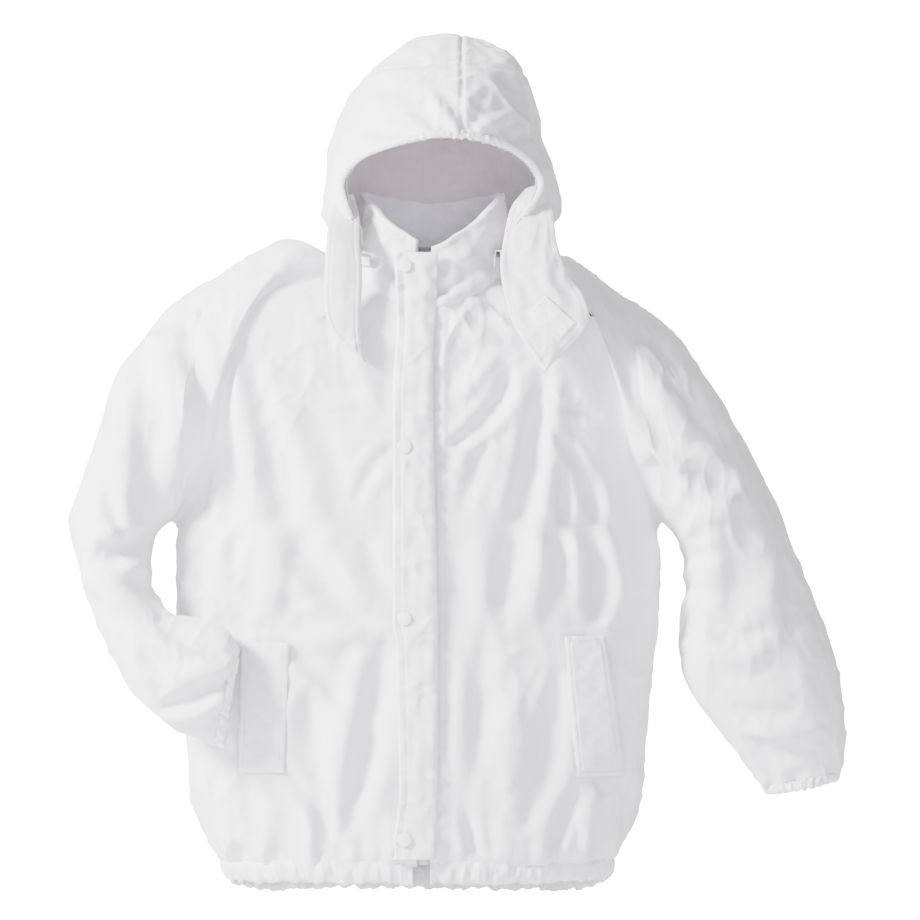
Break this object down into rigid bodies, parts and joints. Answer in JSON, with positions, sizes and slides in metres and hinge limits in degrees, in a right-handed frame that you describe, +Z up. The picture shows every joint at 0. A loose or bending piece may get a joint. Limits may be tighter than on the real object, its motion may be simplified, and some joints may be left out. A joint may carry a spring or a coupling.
{
  "type": "beekeeping jacket",
  "caption": "Padded white beekeeping jacket with raglan sleeves, zip-on hood, chin flaps, storm placket over a front zip, and gathered hem and cuffs.",
  "frame": {"origin": "hanger loop inside the back of the neck", "axes": "+Z up along the wearer's height, -Y towards the front, +X to the right seen from the front"},
  "size_m": [0.9029, 0.2856, 0.989],
  "materials": {
    "shell_fabric": "matt woven cotton, padded",
    "trim_fabric": "matt woven cotton, stitched",
    "lining_fabric": "matt plain weave",
    "tape": "herringbone tape",
    "elastic": "braided elastic",
    "zip_metal": "satin metal",
    "snap_cap": "enamelled",
    "hook_and_loop": "hook-and-loop nap"
  },
  "bodies": {
    "torso": {"front_panel_left": "shell_fabric", "front_panel_right": "shell_fabric", "back_panel": "shell_fabric", "raglan_shoulder_left": "shell_fabric", "raglan_shoulder_right": "shell_fabric", "front_lining_left": "lining_fabric", "front_lining_right": "lining_fabric", "back_lining": "lining_fabric", "hem_casing": "trim_fabric", "hem_elastic": "elastic", "zip_tape_left": "tape", "zip_tape_right": "tape", "zip_teeth_left": "zip_metal", "zip_teeth_right": "zip_metal", "zip_top_stop_left": "zip_metal", "zip_top_stop_right": "zip_metal", "zip_retainer_box": "zip_metal", "collar_shell": "shell_fabric", "collar_facing": "lining_fabric", "hanger_loop": "tape", "pocket_welt_left": "trim_fabric", "pocket_welt_right": "trim_fabric", "pocket_bag_left": "lining_fabric", "pocket_bag_right": "lining_fabric", "snap_stud_1": "zip_metal", "snap_stud_2": "zip_metal", "snap_stud_3": "zip_metal", "snap_stud_4": "zip_metal", "hood_zip_tape": "tape", "hood_zip_teeth": "zip_metal"},
    "placket": {"storm_placket": "shell_fabric", "snap_cap_1": "snap_cap", "snap_cap_2": "snap_cap", "snap_cap_3": "snap_cap", "snap_cap_4": "snap_cap"},
    "front_slider": {"zip_slider": "zip_metal"},
    "front_pull": {"zip_pull": "zip_metal"},
    "hood_slider": {"hood_zip_slider": "zip_metal"},
    "hood_pull": {"hood_zip_pull": "tape"},
    "hood": {"hood_panel_left": "shell_fabric", "hood_panel_right": "shell_fabric", "hood_back_panel": "shell_fabric", "hood_lining": "lining_fabric", "hood_brim_casing": "trim_fabric", "hood_brim_elastic": "elastic"},
    "flap_left": {"chin_flap_left": "shell_fabric", "loop_patch": "hook_and_loop"},
    "flap_right": {"chin_flap_right": "shell_fabric", "hook_patch": "hook_and_loop"},
    "upper_arm_left": {"upper_sleeve_left": "shell_fabric"},
    "lower_arm_left": {"lower_sleeve_left": "shell_fabric", "cuff_casing_left": "trim_fabric", "cuff_elastic_left": "elastic"},
    "upper_arm_right": {"upper_sleeve_right": "shell_fabric"},
    "lower_arm_right": {"lower_sleeve_right": "shell_fabric", "cuff_casing_right": "trim_fabric", "cuff_elastic_right": "elastic"}
  },
  "joints": [
    {"name": "hood_fold", "type": "hinge", "parent": "torso", "child": "hood", "pos_m": [0.002, 0.038, 0.008], "axis": [-1, 0, 0], "range_deg": [0, 80]},
    {"name": "flap_left_swing", "type": "hinge", "parent": "hood", "child": "flap_left", "pos_m": [-0.08, -0.177, -0.042], "axis": [0, 0, 1], "range_deg": [0, 140]},
    {"name": "flap_right_swing", "type": "hinge", "parent": "hood", "child": "flap_right", "pos_m": [0.077, -0.18, -0.042], "axis": [0, 0, -1], "range_deg": [0, 140]},
    {"name": "placket_open", "type": "hinge", "parent": "torso", "child": "placket", "pos_m": [0.006, -0.17786, -0.36], "axis": [0, 0.02, 0.9998], "range_deg": [0, 150]},
    {"name": "front_zip_travel", "type": "slide", "parent": "torso", "child": "front_slider", "axis": [0, -0.02, -0.9998], "range_m": [0, 0.66]},
    {"name": "front_pull_swing", "type": "hinge", "parent": "front_slider", "child": "front_pull", "pos_m": [-0.01, -0.15998, -0.036], "axis": [-1, 0, 0], "range_deg": [0, 9]},
    {"name": "hood_zip_travel", "type": "hinge", "parent": "torso", "child": "hood_slider", "pos_m": [0, -0.073, -0.001], "axis": [0, -0.1914, 0.9815], "range_deg": [0, 250]},
    {"name": "hood_pull_swing", "type": "hinge", "parent": "hood_slider", "child": "hood_pull", "pos_m": [0.08434, -0.13655, -0.01274], "axis": [-0.6018, -0.7986, 0], "range_deg": [0, 60]},
    {"name": "shoulder_left", "type": "hinge", "parent": "torso", "child": "upper_arm_left", "pos_m": [-0.262, -0.058, -0.038], "axis": [0, 1, 0], "range_deg": [0, 55]},
    {"name": "shoulder_right", "type": "hinge", "parent": "torso", "child": "upper_arm_right", "pos_m": [0.225, -0.058, -0.057], "axis": [0, -1, 0], "range_deg": [0, 60]},
    {"name": "elbow_left", "type": "hinge", "parent": "upper_arm_left", "child": "lower_arm_left", "pos_m": [-0.423, -0.094, -0.321], "axis": [0, 1, 0], "range_deg": [0, 60]},
    {"name": "elbow_right", "type": "hinge", "parent": "upper_arm_right", "child": "lower_arm_right", "pos_m": [0.348, -0.148, -0.354], "axis": [-0.7863, 0, -0.6178], "range_deg": [0, 95]}
  ]
}
